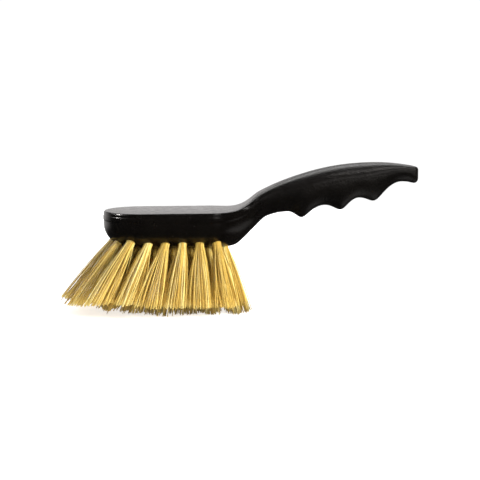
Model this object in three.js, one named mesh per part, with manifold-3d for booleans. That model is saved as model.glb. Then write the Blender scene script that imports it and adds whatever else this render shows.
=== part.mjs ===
// Hand wheel brush: one moulded plastic block with a raised, finger-grooved handle, and
// staple-set tufts. Every tuft is folded round a flat wire anchor at the bottom of a blind hole.
// Millimetres, +Z up, +X from the nose of the block to the end of the handle.
// While it is being built, x starts at the nose tip, y = 0 is the middle plane and z = 0 is the
// lowest part of the block's underside.

import * as THREE from "three";
import { mergeVertices } from "three/addons/utils/BufferGeometryUtils.js";
import Module from "manifold-3d";

const wasm = await Module();
wasm.setup();

// Block
const LENGTH = 201.2;
const BLOCK_WIDTH = 50;
const BLOCK_THICKNESS = 23.3;
const BLOCK_TOP_EDGE = 1.2;
const UNDERSIDE_ROUND = { across: 17, up: 15 };
const NOSE_LENGTH = 24.4;

// Shoulder and neck
const SHOULDER_START = 67.4;
const NECK_START = 96.4;
const NECK_HALF_WIDTH = 10.3;
const NECK_EDGE = { across: 4.5, down: 3.5 };
const HEEL_END = 83.7;
const NECK_TOP_START = 87.9;
const HEEL_SOFTNESS = 1.5;
const SHOULDER_SOFTNESS = 3.8;
const NECK_SOFTNESS = 0.4;

// Handle: its back is one long arc, and its underside has four finger grooves
const BACK_RADIUS = 150;
const BACK_APEX = { x: 171.9, z: 52.6 };
const GRIP_SWELL = 2.2;
const TAIL_TAPER = 3;
const GRIP_EDGE = { share: 0.9, down: 8.5 };
const TAIL_EDGE = { across: 4, down: 3 };
const FINGER_GROOVES = [
  { x: 117.2, z: 21.6, lead: 35, trail: 5.8 },
  { x: 141.1, z: 25.6, lead: 10.8, trail: 10.9 },
  { x: 163.4, z: 30.1, lead: 6.2, trail: 11.7 },
  { x: 191.2, z: 40.3, lead: 10.2, trail: 30 },
];
const RIDGE_SOFTNESS = 4;
const TAIL_DEPTH = 6;
const TAIL_TIP_EDGE = { top: 1.8, bottom: 4 };

// Mesh steps of the moulded body
const NOSE_STEPS = 9;
const TAIL_STEPS = 6;
const BLOCK_STEP = 9;
const NECK_STEP = 3;
const GRIP_STEP = 1.9;
const TOP_EDGE_STEPS = 4;
const BOTTOM_EDGE_STEPS = 6;

// Tuft holes: an outer ring that follows the block's outline, and two inner rows
const TUFT_PITCH = 10.8;
const OUTER_ROW = { x: 16.4, y: 18, count: 6 };
const INNER_ROW = { x: 21.8, y: 6, count: 6 };
const NOSE_RING = { radius: 18.5, angle: THREE.MathUtils.degToRad(33) };
const FAN_FOCUS = { x: 61, along: 78, across: 45 };
const HOLE_RADIUS = 3.4;
const HOLE_DEPTH = 12.8;
const HOLE_SIDES = 12;

// Tufts and anchors
const ROOT_RADIUS = 3.1;
const ROOT_DEPTH = 12.4;
const FLARE_START = 1.5;
const TIP_HALF = { along: 7.6, across: 9.4 };
const FREE_LENGTH = { nose: 44.4, middle: 42.3, side: 39.2 };
const TRIM_DEPTH = 41.2;
const ANCHOR = { thick: 0.5, length: 7, tall: 2.3, depth: 9.6 };
const FIT_GAP = 0.3;

const BLACK_PLASTIC = new THREE.MeshStandardMaterial({ color: 0x14110f, roughness: 0.45, metalness: 0 });
const STRAW_BRISTLE = new THREE.MeshStandardMaterial({ color: 0xd8bd6e, roughness: 0.6, metalness: 0 });
const ANCHOR_WIRE = new THREE.MeshStandardMaterial({ color: 0xb9bcc0, roughness: 0.35, metalness: 1 });

const { smoothstep, lerp } = THREE.MathUtils;

// The larger of several values, with the corner between them rounded.
function softMax(values, softness) {
  const highest = Math.max(...values);
  const sum = values.reduce((total, value) => total + Math.exp((value - highest) / softness), 0);
  return highest + softness * Math.log(sum);
}

function softMin(values, softness) {
  return -softMax(values.map((value) => -value), softness);
}

// Height of the middle of the top at x: the flat block, then the neck at 45 degrees, then the arc
// of the handle's back.
function topAt(x) {
  const neck = BLOCK_THICKNESS + x - NECK_TOP_START;
  const rise = Math.sqrt(Math.max(0, BACK_RADIUS ** 2 - (x - BACK_APEX.x) ** 2));
  const handle = softMin([neck, BACK_APEX.z - BACK_RADIUS + rise], NECK_SOFTNESS);
  return softMax([BLOCK_THICKNESS, handle], SHOULDER_SOFTNESS);
}

// Height of the underside of one finger groove: a parabola with its own radius on each side.
function grooveAt(groove, x) {
  const radius = x < groove.x ? groove.lead : groove.trail;
  return groove.z - (x - groove.x) ** 2 / (2 * radius);
}

// Height of the middle of the underside at x: block, then the neck at 45 degrees, then grooves.
function bottomAt(x) {
  const neck = x - HEEL_END;
  const grip = softMax(FINGER_GROOVES.map((groove) => grooveAt(groove, x)), RIDGE_SOFTNESS);
  return softMax([0, softMin([neck, grip], NECK_SOFTNESS)], HEEL_SOFTNESS);
}

function halfWidthAt(x) {
  const neck = lerp(BLOCK_WIDTH / 2, NECK_HALF_WIDTH, smoothstep(x, SHOULDER_START, NECK_START));
  return neck + GRIP_SWELL * smoothstep(x, 104, 140) - TAIL_TAPER * smoothstep(x, 165, LENGTH);
}

// How far the four edges are rounded at x, across the section and up or down it.
function edgesAt(x) {
  const width = halfWidthAt(x);
  const neck = smoothstep(x, 72, 96);
  const grip = smoothstep(x, 100, 130);
  const tail = smoothstep(x, 160, LENGTH - TAIL_DEPTH);
  const across = lerp(lerp(BLOCK_TOP_EDGE, NECK_EDGE.across, neck), GRIP_EDGE.share * width, grip);
  const down = lerp(lerp(BLOCK_TOP_EDGE, NECK_EDGE.down, neck), GRIP_EDGE.down, grip);
  const topDown = lerp(down, TAIL_EDGE.down, tail);
  const side = topAt(x) - bottomAt(x) - topDown;
  return {
    topAcross: lerp(across, TAIL_EDGE.across, tail),
    topDown,
    bottomAcross: lerp(UNDERSIDE_ROUND.across, 0.88 * width, smoothstep(x, 72, 92)),
    bottomUp: lerp(UNDERSIDE_ROUND.up, 0.9 * side, smoothstep(x, 72, 92)),
  };
}

// One station is a vertical half section, from an inner point on the middle plane out to the
// outline. Round the nose and the tail the stations turn about a fixed inner point.
function noseStation(step) {
  const angle = (step / NOSE_STEPS) * (Math.PI / 2);
  return {
    inner: NOSE_LENGTH,
    outer: new THREE.Vector2(-NOSE_LENGTH * Math.cos(angle), (BLOCK_WIDTH / 2) * Math.sin(angle)),
    edges: edgesAt(NOSE_LENGTH),
  };
}

function sideStation(x) {
  return { inner: x, outer: new THREE.Vector2(0, halfWidthAt(x)), edges: edgesAt(x) };
}

// The end of the handle has a squared outline, so the turn follows a superellipse.
function tailStation(step) {
  const angle = (1 - step / TAIL_STEPS) * (Math.PI / 2);
  const inner = LENGTH - TAIL_DEPTH;
  const side = edgesAt(inner);
  const tip = Math.sqrt(Math.cos(angle));
  return {
    inner,
    outer: new THREE.Vector2(TAIL_DEPTH * tip, halfWidthAt(inner) * Math.sqrt(Math.sin(angle))),
    edges: {
      topAcross: lerp(side.topAcross, TAIL_TIP_EDGE.top, tip),
      topDown: lerp(side.topDown, TAIL_TIP_EDGE.top, tip),
      bottomAcross: lerp(side.bottomAcross, TAIL_TIP_EDGE.bottom, tip),
      bottomUp: lerp(side.bottomUp, TAIL_TIP_EDGE.bottom, tip),
    },
  };
}

function stepPositions(from, to, step) {
  const count = Math.round((to - from) / step);
  return Array.from({ length: count }, (_, i) => from + ((i + 1) * (to - from)) / count);
}

function bodyStations() {
  const sides = [
    ...stepPositions(NOSE_LENGTH, SHOULDER_START, BLOCK_STEP),
    ...stepPositions(SHOULDER_START, 104, NECK_STEP),
    ...stepPositions(104, LENGTH - TAIL_DEPTH, GRIP_STEP),
  ];
  const nose = Array.from({ length: NOSE_STEPS + 1 }, (_, i) => noseStation(i));
  const tail = Array.from({ length: TAIL_STEPS }, (_, i) => tailStation(i + 1));
  return [...nose, ...sides.map(sideStation), ...tail];
}

// The points of one station, from the middle of the top round the side to the middle of the
// underside.
function stationPoints({ inner, outer, edges }) {
  const reach = outer.length();
  const at = (distance) => {
    const share = distance / reach;
    return { x: inner + outer.x * share, y: outer.y * share };
  };
  const points = [{ ...at(0), z: topAt(inner) }];
  for (let i = 0; i <= TOP_EDGE_STEPS; i++) {
    const angle = (i / TOP_EDGE_STEPS) * (Math.PI / 2);
    const place = at(reach - edges.topAcross * (1 - Math.sin(angle)));
    points.push({ ...place, z: topAt(place.x) - edges.topDown * (1 - Math.cos(angle)) });
  }
  for (let i = BOTTOM_EDGE_STEPS; i >= 0; i--) {
    const angle = (i / BOTTOM_EDGE_STEPS) * (Math.PI / 2);
    const place = at(reach - edges.bottomAcross * (1 - Math.sin(angle)));
    points.push({ ...place, z: bottomAt(place.x) + edges.bottomUp * (1 - Math.cos(angle)) });
  }
  points.push({ ...at(0), z: bottomAt(inner) });
  return points;
}

// Triangles between neighbouring stations, for the near side (-y) and mirrored for the far side.
function bodyGeometry() {
  const rows = bodyStations().map(stationPoints);
  const positions = [];
  const triangle = (a, b, c) => {
    for (const p of [a, b, c]) positions.push(p.x, -p.y, p.z);
    for (const p of [a, c, b]) positions.push(p.x, p.y, p.z);
  };
  for (let i = 0; i + 1 < rows.length; i++) {
    for (let j = 0; j + 1 < rows[i].length; j++) {
      triangle(rows[i][j], rows[i][j + 1], rows[i + 1][j + 1]);
      triangle(rows[i][j], rows[i + 1][j + 1], rows[i + 1][j]);
    }
  }
  const geometry = new THREE.BufferGeometry();
  geometry.setAttribute("position", new THREE.Float32BufferAttribute(positions, 3));
  return geometry;
}

// A closed mesh as a manifold solid, with its shared vertices merged and collapsed triangles
// left out.
function solid(geometry) {
  const bare = geometry.clone();
  bare.deleteAttribute("normal");
  bare.deleteAttribute("uv");
  const merged = mergeVertices(bare, 1e-4);
  const kept = [];
  for (let i = 0; i < merged.index.count; i += 3) {
    const [a, b, c] = [0, 1, 2].map((k) => merged.index.getX(i + k));
    if (a !== b && b !== c && c !== a) kept.push(a, b, c);
  }
  return new wasm.Manifold(
    new wasm.Mesh({
      numProp: 3,
      vertProperties: new Float32Array(merged.attributes.position.array),
      triVerts: new Uint32Array(kept),
    }),
  );
}

function geometryOf(manifold) {
  const mesh = manifold.getMesh();
  const geometry = new THREE.BufferGeometry();
  geometry.setAttribute("position", new THREE.BufferAttribute(mesh.vertProperties, 3));
  geometry.setIndex(new THREE.BufferAttribute(mesh.triVerts, 1));
  geometry.computeVertexNormals();
  return geometry;
}

// How far the nose's outline is from its centre, in the direction of a point past the centre.
function outlineReach(past, y) {
  return Math.hypot(past, y) / Math.hypot(past / NOSE_LENGTH, y / (BLOCK_WIDTH / 2));
}

// Height of the block's underside at a hole, from how far the hole is from the outline.
function undersideAt(x, y) {
  const past = Math.max(0, NOSE_LENGTH - x);
  const reach = past > 0 ? outlineReach(past, y) : BLOCK_WIDTH / 2;
  const { across, up } = UNDERSIDE_ROUND;
  const share = Math.max(0, (Math.hypot(past, y) - reach + across) / across);
  return bottomAt(x) + up * (1 - Math.sqrt(1 - share ** 2));
}

function row({ x, y, count }, side) {
  return Array.from({ length: count }, (_, i) => ({ x: x + i * TUFT_PITCH, y: y * side }));
}

// Every hole mouth, named by its row and its number from the nose.
function holeMouths() {
  const named = (name, places) => places.map((place, i) => ({ name: `${name}_${i + 1}`, ...place }));
  const around = [-1, 0, 1].map((turn) => ({
    x: NOSE_LENGTH - NOSE_RING.radius * Math.cos(turn * NOSE_RING.angle),
    y: NOSE_RING.radius * Math.sin(turn * NOSE_RING.angle),
  }));
  return [
    ...named("nose", around),
    ...named("near_outer", row(OUTER_ROW, -1)),
    ...named("near_inner", row(INNER_ROW, -1)),
    ...named("far_inner", row(INNER_ROW, 1)),
    ...named("far_outer", row(OUTER_ROW, 1)),
  ];
}

// The frame of a hole: its origin is the mouth, and its own +Z points down the tuft.
function holeFrame({ x, y }) {
  const lean = new THREE.Vector3((x - FAN_FOCUS.x) / FAN_FOCUS.along, y / FAN_FOCUS.across, -1);
  const down = lean.clone().normalize();
  const across = new THREE.Vector3().crossVectors(down, new THREE.Vector3(1, 0, 0)).normalize();
  const along = new THREE.Vector3().crossVectors(across, down);
  const mouth = new THREE.Vector3(x, y, undersideAt(x, y));
  const matrix = new THREE.Matrix4().makeBasis(along, across, down).setPosition(mouth);
  return { matrix, mouth, lean };
}

function blockAt(size, z) {
  return new THREE.BoxGeometry(size.x, size.y, size.z).translate(0, 0, z);
}

// What is cut out of the block for one tuft: the blind hole and the notches for the anchor's ends.
function holeCutter(frame) {
  const outside = 6;
  const drill = new THREE.CylinderGeometry(HOLE_RADIUS, HOLE_RADIUS, HOLE_DEPTH + outside, HOLE_SIDES)
    .rotateX(Math.PI / 2)
    .translate(0, 0, (outside - HOLE_DEPTH) / 2);
  const notch = {
    x: ANCHOR.thick + 2 * FIT_GAP,
    y: ANCHOR.length + 2 * FIT_GAP,
    z: ANCHOR.tall + 2 * FIT_GAP,
  };
  const cutter = solid(drill).add(solid(blockAt(notch, -ANCHOR.depth)));
  return cutter.transform(frame.matrix.elements);
}

// How far a tuft stands out of its hole. The tufts round the nose are the longest, and behind the
// nose the side rows are the shortest.
function freeLength({ x, y }) {
  if (x < OUTER_ROW.x) return FREE_LENGTH.nose;
  return x > NOSE_LENGTH && Math.abs(y) > INNER_ROW.y ? FREE_LENGTH.side : FREE_LENGTH.middle;
}

// Height that a tuft is cut level at. The upright tufts in the middle are cut off at one common
// plane.
function trimAt({ mouth, lean }) {
  return Math.max(-TRIM_DEPTH, mouth.z - freeLength(mouth) / lean.length());
}

// The rings of a tuft's outline, in the tuft's own frame: two round the straight root, and one
// on the trimmed tips.
function tuftRings(frame) {
  const toTuft = frame.matrix.clone().invert();
  const trim = trimAt(frame);
  const end = frame.mouth.clone().addScaledVector(frame.lean, frame.mouth.z - trim);
  const rings = [[], [], []];
  for (let i = 0; i < HOLE_SIDES; i++) {
    const angle = (i / HOLE_SIDES) * 2 * Math.PI;
    const [along, across] = [Math.sin(angle), Math.cos(angle)];
    rings[0].push(new THREE.Vector3(ROOT_RADIUS * along, ROOT_RADIUS * across, -ROOT_DEPTH));
    rings[1].push(new THREE.Vector3(ROOT_RADIUS * along, ROOT_RADIUS * across, FLARE_START));
    const tip = new THREE.Vector3(TIP_HALF.along * along, -TIP_HALF.across * across, 0);
    rings[2].push(tip.add(end).applyMatrix4(toTuft));
  }
  return rings;
}

// A closed body through rings of equal length, with a fan of triangles over each end.
function loftGeometry(rings) {
  const positions = [];
  const triangle = (...corners) => corners.forEach((p) => positions.push(p.x, p.y, p.z));
  const sides = rings[0].length;
  const middle = (ring) => ring.reduce((sum, p) => sum.add(p), new THREE.Vector3()).divideScalar(sides);
  const [first, last] = [rings[0], rings[rings.length - 1]];
  const [firstMiddle, lastMiddle] = [middle(first), middle(last)];
  for (let i = 0; i < sides; i++) {
    const next = (i + 1) % sides;
    triangle(firstMiddle, first[i], first[next]);
    triangle(lastMiddle, last[next], last[i]);
    for (let r = 0; r + 1 < rings.length; r++) {
      triangle(rings[r][i], rings[r + 1][i], rings[r + 1][next]);
      triangle(rings[r][i], rings[r + 1][next], rings[r][next]);
    }
  }
  const geometry = new THREE.BufferGeometry();
  geometry.setAttribute("position", new THREE.Float32BufferAttribute(positions, 3));
  return geometry;
}

// A tuft: the bundle of bristles as one solid, with the eye that its fold makes for the anchor.
function tuftGeometry(frame) {
  const eye = {
    x: ANCHOR.thick + 2 * FIT_GAP,
    y: ANCHOR.length + 2,
    z: ANCHOR.tall + 2 * FIT_GAP,
  };
  const bundle = solid(loftGeometry(tuftRings(frame)));
  return geometryOf(bundle.subtract(solid(blockAt(eye, -ANCHOR.depth))));
}

function placed(name, geometry, material, matrix) {
  const mesh = new THREE.Mesh(geometry, material);
  mesh.name = name;
  if (matrix) matrix.decompose(mesh.position, mesh.quaternion, mesh.scale);
  return mesh;
}

const brush = new THREE.Group();
const mouths = holeMouths().map((mouth) => ({ name: mouth.name, frame: holeFrame(mouth) }));

let block = solid(bodyGeometry());
for (const { frame } of mouths) block = block.subtract(holeCutter(frame));
brush.add(placed("handle_block", geometryOf(block), BLACK_PLASTIC));

for (const { name, frame } of mouths) {
  brush.add(placed(`tuft_${name}`, tuftGeometry(frame), STRAW_BRISTLE, frame.matrix));
  const wire = blockAt({ x: ANCHOR.thick, y: ANCHOR.length, z: ANCHOR.tall }, -ANCHOR.depth);
  brush.add(placed(`anchor_${name}`, wire, ANCHOR_WIRE, frame.matrix));
}

// The origin goes to the middle of the footprint, on the plane of the trimmed bristles.
const box = new THREE.Box3().setFromObject(brush, true);
const middle = box.getCenter(new THREE.Vector3());
brush.position.set(-middle.x, -middle.y, -box.min.z);

export default brush;
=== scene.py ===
"""Looks for a hand wheel brush: one black moulded block with a raised, finger-grooved handle, and
27 staple-set tufts of straw-yellow bristle. Lengths of the part are in millimetres and are turned
into metres when a mesh is made. Part x starts at the nose of the block, y = 0 is the middle plane
and z = 0 is the lowest part of the block's underside."""

import math
import random

import bmesh
import bpy
from mathutils import Matrix, Vector


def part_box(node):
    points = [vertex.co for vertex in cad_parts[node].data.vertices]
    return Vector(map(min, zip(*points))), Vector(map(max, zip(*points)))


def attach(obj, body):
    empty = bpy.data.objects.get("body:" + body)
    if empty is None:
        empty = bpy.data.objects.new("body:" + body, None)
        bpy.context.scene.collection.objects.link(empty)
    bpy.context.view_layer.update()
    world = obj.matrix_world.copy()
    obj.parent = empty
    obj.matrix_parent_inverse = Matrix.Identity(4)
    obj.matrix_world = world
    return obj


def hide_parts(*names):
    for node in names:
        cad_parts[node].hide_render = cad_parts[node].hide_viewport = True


MM = 0.001
SEED = 41

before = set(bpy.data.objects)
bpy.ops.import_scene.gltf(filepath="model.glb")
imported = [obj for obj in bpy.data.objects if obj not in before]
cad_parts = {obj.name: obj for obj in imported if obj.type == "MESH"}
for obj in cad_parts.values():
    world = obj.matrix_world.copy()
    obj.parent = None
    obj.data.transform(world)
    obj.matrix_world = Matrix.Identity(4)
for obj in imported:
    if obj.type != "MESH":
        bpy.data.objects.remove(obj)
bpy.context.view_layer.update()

BODY_LOW, BODY_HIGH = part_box("handle_block")
PART_ORIGIN = Vector((BODY_LOW.x, 0, BODY_LOW.z))

# Block
LENGTH = (BODY_HIGH.x - BODY_LOW.x) / MM
BLOCK_HALF_WIDTH = BODY_HIGH.y / MM
BLOCK_THICKNESS = 23.3
BLOCK_TOP_EDGE = 1.2
UNDERSIDE_ACROSS = 17
UNDERSIDE_UP = 15
NOSE_LENGTH = 24.4

# Shoulder and neck
SHOULDER_START = 67.4
NECK_START = 96.4
NECK_HALF_WIDTH = 10.3
NECK_EDGE_ACROSS = 4.5
NECK_EDGE_DOWN = 3.5
HEEL_END = 83.7
NECK_TOP_START = 87.9
HEEL_SOFTNESS = 1.5
SHOULDER_SOFTNESS = 3.8
NECK_SOFTNESS = 0.4
# Where the block's edges turn into the neck's, and its underside into the neck's, along x
NECK_EDGES = (72, 96)
HEEL_EDGES = (72, 92)
HEEL_ACROSS_SHARE = 0.88
HEEL_UP_SHARE = 0.9

# Handle
BACK_RADIUS = 150
BACK_APEX_X = 171.9
BACK_APEX_Z = (BODY_HIGH.z - BODY_LOW.z) / MM
GRIP_START = 104
GRIP_SWELL = 2.2
GRIP_SWELL_END = 140
TAIL_TAPER = 3
TAIL_TAPER_START = 165
# Where the neck's edges turn into the grip's, and where the grip's start to turn into the tail's
GRIP_EDGES = (100, 130)
TAIL_EDGES_START = 160
GRIP_EDGE_SHARE = 0.9
GRIP_EDGE_DOWN = 8.5
TAIL_EDGE_ACROSS = 4
TAIL_EDGE_DOWN = 3
# x and z of the top of each finger groove, and its radius before and after that point
FINGER_GROOVES = (
    (117.2, 21.6, 35, 5.8),
    (141.1, 25.6, 10.8, 10.9),
    (163.4, 30.1, 6.2, 11.7),
    (191.2, 40.3, 10.2, 30),
)
RIDGE_SOFTNESS = 4
TAIL_DEPTH = 6
TAIL_TIP_TOP = 1.8
TAIL_TIP_BOTTOM = 4

# The raised band moulded round the side of the block and up the neck
BAND_FROM = 3.0
BAND_TO = 5.2
BAND_HEIGHT = 0.3
BAND_BLEND = 0.6
BAND_FADE = (97, 107)

# Where the glossy finish of the block turns into the grained finish of the handle
GRAIN_BLEND = (92, 112)

# Mesh of the moulded body: steps, the gap in metres under which corners are joined, the shortest
# edge in metres that is kept, and the angle from which an edge looks sharp
NOSE_STEPS = 24
TAIL_STEPS = 12
BLOCK_STEP = 3
NECK_STEP = 1
GRIP_STEP = 1.2
TOP_ARC_STEPS = 14
WALL_STEPS = 24
BOTTOM_ARC_STEPS = 44
WELD_DISTANCE = 2e-6
SHORTEST_EDGE = 1e-6
SHARP_ANGLE = math.radians(35)

# Holes and anchors
HOLE_RADIUS = 3.4
HOLE_DEPTH = 12.8
HOLE_SIDES = 32
CUTTER_OUTSIDE = 6
ANCHOR_DEPTH = 9.6
ANCHOR_HALF_THICK = 0.25
ANCHOR_HALF_TALL = 1.15
FOLD_ROOM = 1.3

# Bristles: their size, and how they are packed in the hole
FIBRE_RADIUS = 0.26
FIBRE_SIDES = 5
FIBRE_STEPS = 7
FOLD_STEPS = 4
ROOT_RADIUS = 3.05
FIBRE_SPACING = 0.465
ROOT_JITTER = 0.12 * FIBRE_SPACING
SPLIT_CLOSING = ANCHOR_HALF_THICK + 0.6 * FIBRE_RADIUS

# How the bristles spread, in half widths of the tuft's trimmed end
TIP_SPREAD = 1.17
TIP_SCATTER = 0.09
CLUMPS = 14
CLUMP_SCATTER = 0.14
# The share of the bristles that stray, and how many times further out than the others they end
STRAY_SHARE = 0.03
STRAY_SPREAD = (1.1, 1.4)

# How the bristles run from the hole to their tips. The length scatter is a share of the length.
FLARE_START = 1.0
LENGTH_SCATTER = 0.003
TIP_CLEARANCE = 0.1
TIP_LIFT = 0.2
BOW = 0.8
SWAY = 0.35
RIPPLE = 0.08
RIPPLE_TURNS = (0.8, 1.7)

# Finishes of the plastic: its two blacks, roughness where it is glossy and where it is grained,
# and the scale, depth in metres and strength of its bumps
BLACK_DEEP = (0.0012, 0.0009, 0.0007)
BLACK_PALE = (0.0030, 0.0024, 0.0018)
GLOSSY_ROUGHNESS = (0.20, 0.28)
GRAINED_ROUGHNESS = (0.32, 0.40)
GRAIN_SCALE = 850
GRAIN_DEPTH = 0.0002
GRAIN_STRENGTH = (0.03, 1.0)
PEEL_SCALE = 300
PEEL_DEPTH = 0.00008
PEEL_STRENGTH = 0.3

# Finishes of the bristle and the wire. The tips are darkened between two heights, in metres: painted
# shade for the shadow low down among the tufts.
STRAW = (
    (0.0, (0.44, 0.26, 0.045)),
    (0.35, (0.74, 0.50, 0.105)),
    (0.75, (0.88, 0.65, 0.165)),
    (1.0, (0.95, 0.80, 0.32)),
)
PAINTED_TIP_SHADE_HEIGHTS = (0.001, 0.009)
PAINTED_TIP_SHADE = 0.42
STREAK_DEPTH = 0.00002
STREAK_STRENGTH = 0.4
PLATING_DEEP = (0.50, 0.50, 0.49)
PLATING_PALE = (0.66, 0.66, 0.65)
BRUSHED_DEPTH = 0.00002
BRUSHED_STRENGTH = 0.5

# Floor, in metres
FLOOR_RADII = (0.3, 0.62)
FLOOR_SIDES = 64
FLOOR_DEEP = (0.88, 0.88, 0.88)
FLOOR_PALE = (0.90, 0.90, 0.90)
FLOOR_GLOW = 0.7

# The world, as it is seen and as it lights the brush
WHITE = (1, 1, 1, 1)
SEEN_STRENGTH = 1.05
WORLD_COLOUR = (1, 0.97, 0.96, 1)
GLOW_STRENGTH = 1.0
DIM_STRENGTH = 0.03
# Where the glow behind the object fades in and out, by the y and the z of the direction
GLOW_BEHIND = (0.25, 0.75)
GLOW_TOP = (0.22, 0.42)
GLOW_BOTTOM = (-0.35, -0.05)

# Camera: lens and sensor in mm, distances in metres
CAMERA_LENS = 90
CAMERA_SENSOR = 36
CAMERA_NEAR = 0.01
CAMERA_PITCH = math.radians(7.5)
CAMERA_TURN = math.radians(5.6)
CAMERA_DISTANCE = 0.770
CAMERA_TARGET = Vector((-0.00024, 0, 0.0445))


def smoothstep(value, low, high):
    t = min(1.0, max(0.0, (value - low) / (high - low)))
    return t * t * (3 - 2 * t)


def mix(a, b, t):
    return a + (b - a) * t


def soft_max(values, softness):
    """The larger of several values, with the corner between them rounded."""
    highest = max(values)
    total = sum(math.exp((value - highest) / softness) for value in values)
    return highest + softness * math.log(total)


def soft_min(values, softness):
    return -soft_max([-value for value in values], softness)


# ---------------------------------------------------------------- outline of the moulded body


def top_at(x):
    neck = BLOCK_THICKNESS + x - NECK_TOP_START
    rise = math.sqrt(max(0, BACK_RADIUS**2 - (x - BACK_APEX_X) ** 2))
    handle = soft_min((neck, BACK_APEX_Z - BACK_RADIUS + rise), NECK_SOFTNESS)
    return soft_max((BLOCK_THICKNESS, handle), SHOULDER_SOFTNESS)


def groove_at(groove, x):
    centre, top, lead, trail = groove
    radius = lead if x < centre else trail
    return top - (x - centre) ** 2 / (2 * radius)


def bottom_at(x):
    grip = soft_max([groove_at(groove, x) for groove in FINGER_GROOVES], RIDGE_SOFTNESS)
    neck = soft_min((x - HEEL_END, grip), NECK_SOFTNESS)
    return soft_max((0, neck), HEEL_SOFTNESS)


def half_width_at(x):
    neck = mix(BLOCK_HALF_WIDTH, NECK_HALF_WIDTH, smoothstep(x, SHOULDER_START, NECK_START))
    swell = GRIP_SWELL * smoothstep(x, GRIP_START, GRIP_SWELL_END)
    return neck + swell - TAIL_TAPER * smoothstep(x, TAIL_TAPER_START, LENGTH)


def edges_at(x):
    """Top edge across and down, and bottom edge across and up, in mm."""
    width = half_width_at(x)
    neck = smoothstep(x, *NECK_EDGES)
    grip = smoothstep(x, *GRIP_EDGES)
    tail = smoothstep(x, TAIL_EDGES_START, LENGTH - TAIL_DEPTH)
    across = mix(BLOCK_TOP_EDGE, NECK_EDGE_ACROSS, neck)
    down = mix(BLOCK_TOP_EDGE, NECK_EDGE_DOWN, neck)
    across = mix(across, GRIP_EDGE_SHARE * width, grip)
    down = mix(down, GRIP_EDGE_DOWN, grip)
    top_down = mix(down, TAIL_EDGE_DOWN, tail)
    side = top_at(x) - bottom_at(x) - top_down
    heel = smoothstep(x, *HEEL_EDGES)
    return (
        mix(across, TAIL_EDGE_ACROSS, tail),
        top_down,
        mix(UNDERSIDE_ACROSS, HEEL_ACROSS_SHARE * width, heel),
        mix(UNDERSIDE_UP, HEEL_UP_SHARE * side, heel),
    )


def nose_station(step):
    angle = step / NOSE_STEPS * math.pi / 2
    outer = (-NOSE_LENGTH * math.cos(angle), BLOCK_HALF_WIDTH * math.sin(angle))
    return NOSE_LENGTH, outer, edges_at(NOSE_LENGTH)


def side_station(x):
    return x, (0, half_width_at(x)), edges_at(x)


def tail_station(step):
    """The end of the handle has a squared outline, so the turn follows a superellipse."""
    angle = (1 - step / TAIL_STEPS) * math.pi / 2
    inner = LENGTH - TAIL_DEPTH
    tip = math.sqrt(max(0, math.cos(angle)))
    side = edges_at(inner)
    ends = (TAIL_TIP_TOP, TAIL_TIP_TOP, TAIL_TIP_BOTTOM, TAIL_TIP_BOTTOM)
    edges = tuple(mix(a, b, tip) for a, b in zip(side, ends))
    across = half_width_at(inner) * math.sqrt(max(0, math.sin(angle)))
    return inner, (TAIL_DEPTH * tip, across), edges


def step_positions(start, end, step):
    count = round((end - start) / step)
    return [start + (i + 1) * (end - start) / count for i in range(count)]


def body_stations():
    xs = step_positions(NOSE_LENGTH, SHOULDER_START, BLOCK_STEP)
    xs += step_positions(SHOULDER_START, GRIP_START, NECK_STEP)
    xs += step_positions(GRIP_START, LENGTH - TAIL_DEPTH, GRIP_STEP)
    stations = [nose_station(i) for i in range(NOSE_STEPS + 1)]
    stations += [side_station(x) for x in xs]
    stations += [tail_station(i + 1) for i in range(TAIL_STEPS)]
    return stations


def band_at(depth, x):
    """How far the moulded band stands out of the side, at a depth below the top."""
    rise = smoothstep(depth, BAND_FROM - BAND_BLEND, BAND_FROM)
    fall = 1 - smoothstep(depth, BAND_TO, BAND_TO + BAND_BLEND)
    return BAND_HEIGHT * rise * fall * (1 - smoothstep(x, *BAND_FADE))


def station_points(station):
    """Half a section: from the middle of the top round the side to the middle underneath."""
    inner, outer, (top_across, top_down, bottom_across, bottom_up) = station
    reach = math.hypot(*outer)

    def at(distance):
        share = distance / reach
        return inner + outer[0] * share, outer[1] * share

    def point(distance, z):
        x, y = at(distance)
        return Vector((x, y, z))

    points = [point(0, top_at(inner))]
    for i in range(TOP_ARC_STEPS + 1):
        angle = i / TOP_ARC_STEPS * math.pi / 2
        distance = reach - top_across * (1 - math.sin(angle))
        x = at(distance)[0]
        points.append(point(distance, top_at(x) - top_down * (1 - math.cos(angle))))
    wall_x = at(reach)[0]
    wall_top = top_at(wall_x) - top_down
    wall_bottom = bottom_at(wall_x) + bottom_up
    for i in range(1, WALL_STEPS):
        depth = wall_top - (wall_top - wall_bottom) * i / WALL_STEPS
        points.append(point(reach, depth))
    for i in range(BOTTOM_ARC_STEPS, -1, -1):
        angle = i / BOTTOM_ARC_STEPS * math.pi / 2
        distance = reach - bottom_across * (1 - math.sin(angle))
        x = at(distance)[0]
        points.append(point(distance, bottom_at(x) + bottom_up * (1 - math.cos(angle))))
    points.append(point(0, bottom_at(inner)))
    return [with_band(points, i, outer, reach) for i in range(len(points))]


def with_band(points, i, outer, reach):
    """A section point moved out, square to the section, where the moulded band is."""
    place = points[i]
    height = band_at(top_at(place.x) - place.z, place.x)
    if height == 0 or i == 0 or i + 1 == len(points):
        return place
    out = Vector((outer[0] / reach, outer[1] / reach, 0))
    step = points[i + 1] - points[i - 1]
    normal = Vector((-step.z, step.dot(out)))
    if normal.length == 0:
        return place
    normal.normalize()
    return place + (out * normal.x + Vector((0, 0, normal.y))) * height


def to_row(place):
    """A point in part millimetres as a point in the row frame, in metres."""
    return PART_ORIGIN + place * MM


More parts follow.
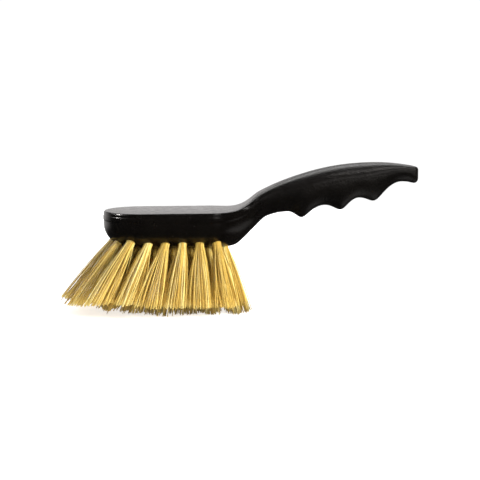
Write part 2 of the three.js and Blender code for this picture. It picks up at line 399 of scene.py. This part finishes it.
def body_mesh():
    rows = [station_points(station) for station in body_stations()]
    mesh = bmesh.new()
    for side in (-1, 1):
        grid = []
        for points in rows:
            grid.append([mesh.verts.new(to_row(Vector((p.x, p.y * side, p.z)))) for p in points])
        for near, far in zip(grid, grid[1:]):
            for j in range(len(near) - 1):
                face = [near[j], near[j + 1], far[j + 1], far[j]]
                mesh.faces.new(face if side < 0 else face[::-1])
    bmesh.ops.remove_doubles(mesh, verts=mesh.verts, dist=WELD_DISTANCE)
    bmesh.ops.dissolve_degenerate(mesh, dist=SHORTEST_EDGE, edges=mesh.edges)
    bmesh.ops.recalc_face_normals(mesh, faces=mesh.faces)
    return mesh


# ---------------------------------------------------------------- tufts


class Tuft:
    """Where one tuft is, read from its CAD nodes: the hole's frame and the trimmed end."""

    def __init__(self, name):
        self.name = name
        low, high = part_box("anchor_" + name)
        anchor = (low + high) / 2
        corners = [v.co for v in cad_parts["tuft_" + name].data.vertices]
        self.trim = min(corner.z for corner in corners)
        rim = [corner for corner in corners if corner.z < self.trim + 0.05 * MM]
        xs = [corner.x for corner in rim]
        ys = [corner.y for corner in rim]
        self.end = Vector(((min(xs) + max(xs)) / 2, (min(ys) + max(ys)) / 2, self.trim))
        self.end_half = ((max(xs) - min(xs)) / 2, (max(ys) - min(ys)) / 2)
        self.down = (self.end - anchor).normalized()
        self.across = self.down.cross(Vector((1, 0, 0))).normalized()
        self.along = self.across.cross(self.down)
        self.mouth = anchor + self.down * ANCHOR_DEPTH * MM

    def place(self, along, across, depth):
        """A point in the hole's frame, in mm, as a point in the row frame."""
        return self.mouth + (self.along * along + self.across * across + self.down * depth) * MM

    def matrix(self):
        rotation = Matrix((self.along, self.across, self.down)).transposed().to_4x4()
        return Matrix.Translation(self.mouth) @ rotation


def all_tufts():
    names = [name[len("tuft_") :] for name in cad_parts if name.startswith("tuft_")]
    return [Tuft(name) for name in sorted(names)]


def root_places(dice):
    """Pairs of filament places in a hole, one on each side of the anchor wire."""
    places = []
    row_height = FIBRE_SPACING * math.sqrt(3) / 2
    rows = int(ROOT_RADIUS / row_height)
    for row in range(-rows, rows + 1):
        across = row * row_height
        shift = FIBRE_SPACING / 2 if row % 2 else 0
        along = ANCHOR_HALF_THICK + FIBRE_RADIUS + shift
        while math.hypot(along, across) < ROOT_RADIUS:
            jitter_along = dice.uniform(-ROOT_JITTER, ROOT_JITTER)
            jitter_across = dice.uniform(-ROOT_JITTER, ROOT_JITTER)
            places.append((along + jitter_along, across + jitter_across))
            along += FIBRE_SPACING
    return places


def closed_up(along):
    """A filament's place across the split that the anchor makes, once it is out of the hole."""
    return along - math.copysign(SPLIT_CLOSING, along)


def fibre_path(tuft, along, across, clump, dice):
    """One end of a folded filament, from inside the hole to its trimmed tip."""
    along_out = closed_up(along)
    spread_x = TIP_SPREAD * (along_out / ROOT_RADIUS + clump[0] + dice.gauss(0, TIP_SCATTER))
    spread_y = TIP_SPREAD * (across / ROOT_RADIUS + clump[1] + dice.gauss(0, TIP_SCATTER))
    if dice.random() < STRAY_SHARE:
        spread_x *= dice.uniform(*STRAY_SPREAD)
        spread_y *= dice.uniform(*STRAY_SPREAD)
    tip = tuft.end + Vector((tuft.end_half[0] * spread_x, -tuft.end_half[1] * spread_y, 0))
    start = tuft.place(along_out, across, FLARE_START)
    direction = (tip - start).normalized()
    length = (tip - start).length * (1 + dice.gauss(0, LENGTH_SCATTER))
    if direction.z * length + start.z < TIP_CLEARANCE * MM:
        height = (TIP_CLEARANCE + abs(dice.gauss(0, TIP_LIFT))) * MM
        length = (height - start.z) / direction.z
    sway = tuft.along * dice.gauss(0, SWAY * MM) + tuft.across * dice.gauss(0, SWAY * MM)
    ripple = tuft.along * dice.gauss(0, RIPPLE * MM) + tuft.across * dice.gauss(0, RIPPLE * MM)
    bow = (tuft.along * along_out + tuft.across * across) * (BOW * MM / ROOT_RADIUS)
    phase = dice.uniform(0, 2 * math.pi)
    turns = dice.uniform(*RIPPLE_TURNS)
    path = [tuft.place(along, across, -ANCHOR_DEPTH + ANCHOR_HALF_TALL)]
    for i in range(FIBRE_STEPS + 1):
        t = i / FIBRE_STEPS
        bend = (sway + bow) * math.sin(math.pi * t)
        bend += ripple * t * math.sin(phase + turns * 2 * math.pi * t)
        path.append(start + direction * length * t + bend)
    return path


def fold_path(tuft, along, across):
    """The fold over the back of the anchor, from the +along side to the -along side."""
    path = []
    for i in range(1, FOLD_STEPS):
        angle = i / FOLD_STEPS * math.pi
        depth = ANCHOR_DEPTH + ANCHOR_HALF_TALL + FOLD_ROOM * math.sin(angle) * along / ROOT_RADIUS
        path.append(tuft.place(along * math.cos(angle), across, -depth))
    return path


def add_tube(mesh, path, layer, shade):
    """A closed tube round a path, with a shade kept on its vertices."""
    rings = []
    side = None
    total = len(path) - 1
    for i, place in enumerate(path):
        before = path[max(0, i - 1)]
        after = path[min(total, i + 1)]
        heading = (after - before).normalized()
        if side is None:
            side = heading.orthogonal().normalized()
        side = (side - heading * side.dot(heading)).normalized()
        other = heading.cross(side)
        ring = []
        for k in range(FIBRE_SIDES):
            angle = k / FIBRE_SIDES * 2 * math.pi
            offset = side * math.cos(angle) + other * math.sin(angle)
            vertex = mesh.verts.new(place + offset * FIBRE_RADIUS * MM)
            vertex[layer] = shade
            ring.append(vertex)
        rings.append(ring)
    for a, b in zip(rings, rings[1:]):
        for k in range(FIBRE_SIDES):
            n = (k + 1) % FIBRE_SIDES
            mesh.faces.new((a[k], a[n], b[n], b[k])).smooth = True
    mesh.faces.new(rings[0][::-1])
    mesh.faces.new(rings[-1])


def make_clump(dice):
    """A few neighbouring filaments that lean together: their place in the root, and their lean."""
    return {
        "along": dice.uniform(-ROOT_RADIUS, ROOT_RADIUS),
        "across": dice.uniform(-ROOT_RADIUS, ROOT_RADIUS),
        "lean": (dice.gauss(0, CLUMP_SCATTER), dice.gauss(0, CLUMP_SCATTER)),
    }


def make_tuft(tuft, material):
    dice = random.Random(SEED + sum(ord(letter) for letter in tuft.name))
    mesh = bmesh.new()
    layer = mesh.verts.layers.float.new("shade")
    clumps = [make_clump(dice) for _ in range(CLUMPS)]
    for along, across in root_places(dice):
        ends = []
        for place in (along, -along):
            clump = min(clumps, key=lambda c: math.hypot(c["along"] - place, c["across"] - across))
            ends.append(fibre_path(tuft, place, across, clump["lean"], dice))
        path = ends[0][::-1] + fold_path(tuft, along, across) + ends[1]
        add_tube(mesh, path, layer, dice.random())
    return make_piece("bristles_" + tuft.name, mesh, material)


# ---------------------------------------------------------------- objects


def make_object(name, mesh, material):
    data = bpy.data.meshes.new(name)
    mesh.to_mesh(data)
    mesh.free()
    data.materials.append(material)
    piece = bpy.data.objects.new(name, data)
    bpy.context.scene.collection.objects.link(piece)
    return piece


def make_piece(name, mesh, material):
    piece = make_object(name, mesh, material)
    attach(piece, "root")
    return piece


def hole_cutters(tufts):
    """All the tuft holes as one mesh of closed cylinders that don't touch each other."""
    mesh = bmesh.new()
    middle = Matrix.Translation((0, 0, (CUTTER_OUTSIDE - HOLE_DEPTH) / 2 * MM))
    for tuft in tufts:
        bmesh.ops.create_cone(
            mesh,
            cap_ends=True,
            segments=HOLE_SIDES,
            radius1=HOLE_RADIUS * MM,
            radius2=HOLE_RADIUS * MM,
            depth=(HOLE_DEPTH + CUTTER_OUTSIDE) * MM,
            matrix=tuft.matrix() @ middle,
        )
    return make_object("hole_cutters", mesh, bpy.data.materials.new("hole_cutters"))


def make_body(tufts, material):
    body = make_object("moulded_body", body_mesh(), material)
    cutters = hole_cutters(tufts)
    cut = body.modifiers.new("holes", "BOOLEAN")
    cut.object = cutters
    cut.operation = "DIFFERENCE"
    cut.solver = "EXACT"
    bpy.context.view_layer.update()
    evaluated = body.evaluated_get(bpy.context.evaluated_depsgraph_get())
    finished = bpy.data.meshes.new_from_object(evaluated)
    body.modifiers.clear()
    body.data = finished
    bpy.data.objects.remove(cutters)
    finished.materials.clear()
    finished.materials.append(material)
    finished.shade_smooth()
    finished.set_sharp_from_angle(angle=SHARP_ANGLE)
    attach(body, "root")
    return body


# ---------------------------------------------------------------- materials


class Nodes:
    """The node tree of a material or world, and a short way to add nodes to it."""

    def __init__(self, owner):
        owner.use_nodes = True
        self.owner = owner
        self.tree = owner.node_tree

    def give(self, target, value):
        """Set an input socket to a value, or link another node's output to it."""
        if isinstance(value, bpy.types.NodeSocket):
            self.tree.links.new(value, target)
        else:
            target.default_value = value

    def set(self, node, **values):
        """Set a node's own properties, and its inputs by name with _ for a space."""
        for key, value in values.items():
            if hasattr(node, key):
                setattr(node, key, value)
            else:
                self.give(node.inputs[key.replace("_", " ")], value)

    def add(self, kind, **values):
        node = self.tree.nodes.new(kind)
        self.set(node, **values)
        return node

    def finish(self, **values):
        """Set the inputs of the material's shader, and return the material."""
        self.set(self.tree.nodes["Principled BSDF"], **values)
        return self.owner

    def coordinates(self, kind="Object"):
        return self.add("ShaderNodeTexCoord").outputs[kind]

    def axes(self, vector):
        return self.add("ShaderNodeSeparateXYZ", Vector=vector).outputs

    def noise(self, scale, detail, vector):
        return self.add("ShaderNodeTexNoise", Scale=scale, Detail=detail, Vector=vector).outputs["Fac"]

    def remap(self, source, low, high, new_low, new_high, interpolation="LINEAR"):
        node = self.add(
            "ShaderNodeMapRange",
            interpolation_type=interpolation,
            Value=source,
            From_Min=low,
            From_Max=high,
            To_Min=new_low,
            To_Max=new_high,
        )
        return node.outputs["Result"]

    def math(self, operation, first, second):
        node = self.add("ShaderNodeMath", operation=operation)
        self.give(node.inputs[0], first)
        self.give(node.inputs[1], second)
        return node.outputs["Value"]

    def mixed(self, share, first, second):
        """A plain value between two others."""
        return self.add("ShaderNodeMix", Factor=share, A=first, B=second).outputs["Result"]

    def multiplied(self, colour, shade):
        """A colour darkened or lightened by a plain value."""
        node = self.add("ShaderNodeMix", data_type="RGBA", blend_type="MULTIPLY", Factor=1.0)
        colours = [socket for socket in node.inputs if socket.type == "RGBA"]
        self.give(colours[0], colour)
        self.give(colours[1], shade)
        return [socket for socket in node.outputs if socket.type == "RGBA"][0]

    def ramp(self, source, *stops):
        node = self.add("ShaderNodeValToRGB", Fac=source)
        elements = node.color_ramp.elements
        while len(elements) < len(stops):
            elements.new(0.5)
        for element, (position, colour) in zip(elements, stops):
            element.position = position
            element.color = (*colour, 1)
        return node.outputs["Color"]

    def bump(self, height, distance, strength):
        return self.add("ShaderNodeBump", Height=height, Distance=distance, Strength=strength)


def material_nodes(name):
    return Nodes(bpy.data.materials.new(name))


def plastic_material():
    """Glossy on the block, and a grained, duller finish on the handle."""
    nodes = material_nodes("black_moulded_plastic")
    place = nodes.coordinates()
    start, end = [to_row(Vector((x, 0, 0))).x for x in GRAIN_BLEND]
    handle = nodes.remap(nodes.axes(place)["X"], start, end, 0.0, 1.0)
    mottling = nodes.noise(70, 4, place)
    worn = nodes.noise(260, 2, place)
    glossy = nodes.remap(worn, 0.25, 0.75, *GLOSSY_ROUGHNESS)
    grained = nodes.remap(worn, 0.25, 0.75, *GRAINED_ROUGHNESS)
    strength = nodes.remap(handle, 0.0, 1.0, *GRAIN_STRENGTH)
    grain = nodes.bump(nodes.noise(GRAIN_SCALE, 3, place), GRAIN_DEPTH, strength)
    peel = nodes.bump(nodes.noise(PEEL_SCALE, 2, place), PEEL_DEPTH, PEEL_STRENGTH)
    nodes.set(peel, Normal=grain.outputs["Normal"])
    return nodes.finish(
        Base_Color=nodes.ramp(mottling, (0.3, BLACK_DEEP), (0.75, BLACK_PALE)),
        Specular_IOR_Level=0.44,
        Specular_Tint=(1.0, 0.95, 0.92, 1),
        Roughness=nodes.mixed(handle, glossy, grained),
        Normal=peel.outputs["Normal"],
    )


def bristle_material():
    """Each bristle has its own shade of straw, with streaks along it, and is darkened towards its tip
    near the floor as painted shade.
    """
    nodes = material_nodes("straw_bristle")
    place = nodes.coordinates()
    shade = nodes.add("ShaderNodeAttribute", attribute_name="shade").outputs["Fac"]
    streaks = nodes.noise(900, 2, place)
    streaked = nodes.multiplied(nodes.ramp(shade, *STRAW), nodes.remap(streaks, 0.3, 0.7, 0.85, 1.1))
    # painted shade: the bristles are darkened towards their tips low down, for the shadow among the
    # tufts
    painted_tip_shade = nodes.remap(nodes.axes(place)["Z"], *PAINTED_TIP_SHADE_HEIGHTS, PAINTED_TIP_SHADE, 1.0)
    return nodes.finish(
        Base_Color=nodes.multiplied(streaked, painted_tip_shade),
        Specular_IOR_Level=0.5,
        Roughness=0.38,
        Normal=nodes.bump(streaks, STREAK_DEPTH, STREAK_STRENGTH).outputs["Normal"],
    )


def wire_material():
    nodes = material_nodes("plated_anchor_wire")
    brushed = nodes.noise(3000, 2, nodes.coordinates())
    return nodes.finish(
        Base_Color=nodes.ramp(brushed, (0.3, PLATING_DEEP), (0.7, PLATING_PALE)),
        Metallic=1.0,
        Roughness=nodes.remap(brushed, 0.3, 0.7, 0.25, 0.45),
        Normal=nodes.bump(brushed, BRUSHED_DEPTH, BRUSHED_STRENGTH).outputs["Normal"],
    )


# ---------------------------------------------------------------- floor, light and camera


def floor_material():
    nodes = material_nodes("pale_floor")
    clouds = nodes.noise(30, 3, nodes.coordinates())
    return nodes.finish(
        Base_Color=nodes.ramp(clouds, (0.3, FLOOR_DEEP), (0.7, FLOOR_PALE)),
        Roughness=0.9,
        Specular_IOR_Level=0.1,
        Emission_Color=WHITE,
        Emission_Strength=FLOOR_GLOW,
    )


def make_floor():
    """A pale glowing disc, which the plastic doesn't reflect."""
    mesh = bmesh.new()
    inner, outer = [], []
    centre = mesh.verts.new((0, 0, 0))
    for ring, radius in zip((inner, outer), FLOOR_RADII):
        for i in range(FLOOR_SIDES):
            angle = i / FLOOR_SIDES * 2 * math.pi
            ring.append(mesh.verts.new((radius * math.cos(angle), radius * math.sin(angle), 0)))
    for i in range(FLOOR_SIDES):
        n = (i + 1) % FLOOR_SIDES
        mesh.faces.new((centre, inner[i], inner[n]))
        mesh.faces.new((inner[i], outer[i], outer[n], inner[n]))
    floor = make_object("pale_floor", mesh, floor_material())
    floor.visible_glossy = False


def make_world():
    """White to look at. As light it is a pale glow low down behind the object, and dim elsewhere."""
    world = bpy.data.worlds.new("studio")
    bpy.context.scene.world = world
    nodes = Nodes(world)
    nodes.tree.nodes.clear()
    direction = nodes.axes(nodes.coordinates("Generated"))
    behind = nodes.remap(direction["Y"], *GLOW_BEHIND, 0.0, 1.0, "SMOOTHSTEP")
    low_down = nodes.remap(direction["Z"], *GLOW_TOP, 1.0, 0.0, "SMOOTHSTEP")
    above_floor = nodes.remap(direction["Z"], *GLOW_BOTTOM, 0.0, 1.0, "SMOOTHSTEP")
    glow = nodes.math("MULTIPLY", nodes.math("MULTIPLY", behind, low_down), above_floor)
    strength = nodes.math("ADD", nodes.math("MULTIPLY", glow, GLOW_STRENGTH), DIM_STRENGTH)
    light = nodes.add("ShaderNodeBackground", Color=WORLD_COLOUR, Strength=strength)
    seen = nodes.add("ShaderNodeBackground", Color=WHITE, Strength=SEEN_STRENGTH)
    is_camera_ray = nodes.add("ShaderNodeLightPath").outputs["Is Camera Ray"]
    choose = nodes.add("ShaderNodeMixShader", Fac=is_camera_ray)
    nodes.give(choose.inputs[1], light.outputs["Background"])
    nodes.give(choose.inputs[2], seen.outputs["Background"])
    nodes.add("ShaderNodeOutputWorld", Surface=choose.outputs["Shader"])


def add_area_light(name, place, target, size, watts, diffuse=True, glossy=True):
    """An area light, of a width and height in metres, aimed from its place at a target."""
    data = bpy.data.lights.new(name, "AREA")
    data.shape = "RECTANGLE"
    data.size, data.size_y = size
    data.energy = watts
    light = bpy.data.objects.new(name, data)
    bpy.context.scene.collection.objects.link(light)
    light.location = place
    direction = Vector(target) - Vector(place)
    light.rotation_euler = direction.to_track_quat("-Z", "Y").to_euler()
    light.visible_diffuse = diffuse
    light.visible_glossy = glossy


def make_lights():
    """Two soft lights that leave no reflection, a softbox behind and a small glow under the heel
    that do, and three panels that show only as reflections."""
    add_area_light(
        "ceiling",
        place=(0, 0, 1.2),
        target=(0, 0.001, 0),
        size=(2.4, 2.4),
        watts=12.5,
        glossy=False,
    )
    add_area_light(
        "key_softbox",
        place=(0.85, -0.85, 0.5),
        target=(0, 0, 0.03),
        size=(0.35, 0.35),
        watts=22.5,
        glossy=False,
    )
    add_area_light(
        "rear_softbox",
        place=(0.05, 0.62, 0.8),
        target=(0, 0, 0.05),
        size=(1.2, 0.4),
        watts=5.5,
    )
    add_area_light(
        "front_panel",
        place=(0.5, -0.9, 0.27),
        target=(0.1, 0, 0.08),
        size=(0.7, 0.28),
        watts=1.5,
        diffuse=False,
    )
    add_area_light(
        "neck_light",
        place=(0.36, -0.38, 0.9),
        target=(0, 0, 0.06),
        size=(0.3, 0.3),
        watts=2.2,
        diffuse=False,
    )
    add_area_light(
        "nose_light",
        place=(-0.95, -0.02, 0.7),
        target=(-0.1, 0, 0.05),
        size=(0.2, 0.2),
        watts=14,
        diffuse=False,
    )
    add_area_light(
        "heel_reflection",
        place=(0.115, -0.01, 0.0005),
        target=(0.115, -0.009, 1),
        size=(0.06, 0.06),
        watts=0.005,
    )


def make_camera():
    data = bpy.data.cameras.new("camera")
    data.lens = CAMERA_LENS
    data.sensor_width = CAMERA_SENSOR
    data.clip_start = CAMERA_NEAR
    camera = bpy.data.objects.new("camera", data)
    bpy.context.scene.collection.objects.link(camera)
    level = math.cos(CAMERA_PITCH)
    across = math.sin(CAMERA_TURN) * level
    ahead = math.cos(CAMERA_TURN) * level
    forward = Vector((across, ahead, -math.sin(CAMERA_PITCH)))
    camera.location = CAMERA_TARGET - forward * CAMERA_DISTANCE
    camera.rotation_euler = forward.to_track_quat("-Z", "Y").to_euler()
    bpy.context.scene.camera = camera


# ---------------------------------------------------------------- assembly

plastic = plastic_material()
bristle = bristle_material()
wire = wire_material()
tufts = all_tufts()

body = make_body(tufts, plastic)
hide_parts("handle_block")

for tuft in tufts:
    bundle = make_tuft(tuft, bristle)
    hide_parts("tuft_" + tuft.name)
    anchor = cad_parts["anchor_" + tuft.name]
    anchor.data.materials.clear()
    anchor.data.materials.append(wire)

make_floor()
make_world()
make_lights()
make_camera()

scene = bpy.context.scene
scene.view_settings.view_transform = "Standard"
scene.view_settings.look = "None"
